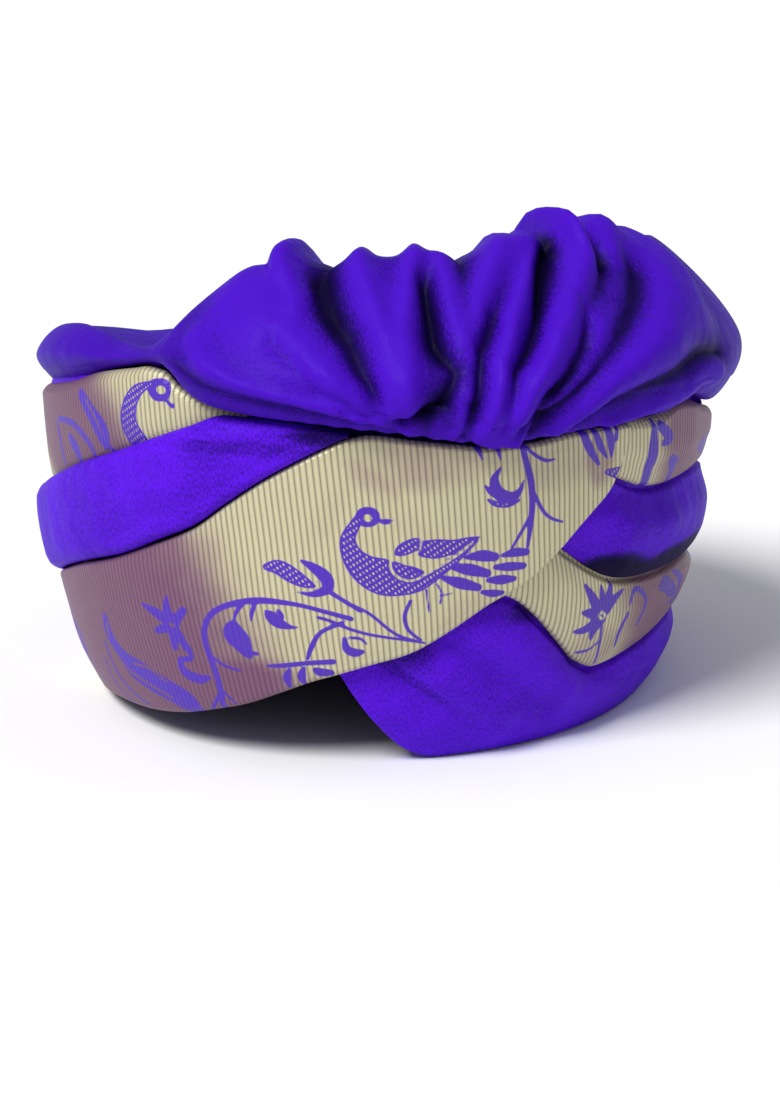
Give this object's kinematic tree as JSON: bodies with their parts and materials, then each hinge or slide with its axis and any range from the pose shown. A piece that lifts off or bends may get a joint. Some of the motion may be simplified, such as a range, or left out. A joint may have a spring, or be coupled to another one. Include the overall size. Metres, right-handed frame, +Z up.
{
  "type": "turban",
  "caption": "Ready-wound oval turban: crossed violet and gold-brocade wraps flaring up from an open head hollow, with a gathered puff over the crown.",
  "frame": {"origin": "Centre of the oval head opening, on the plane that the rim rests on.", "axes": "+Z up, -Y the front with the crossing and the knot of the puff, +X to the right as seen from the front."},
  "size_m": [0.2808, 0.3226, 0.2],
  "materials": {
    "violet_satin": "smooth satin-weave cloth with a soft sheen",
    "violet_satin_inner": "plain inner turns of the same cloth",
    "gold_brocade": "ribbed gold-thread brocade with violet figures"
  },
  "bodies": {
    "root": {"inner_wrap": "violet_satin_inner", "rim_wrap": "violet_satin", "lower_brocade": "gold_brocade", "side_fold": "violet_satin", "upper_brocade": "gold_brocade", "top_wrap": "violet_satin", "front_band_plain": "violet_satin", "front_band_brocade": "gold_brocade", "crown_puff": "violet_satin"}
  },
  "joints": []
}
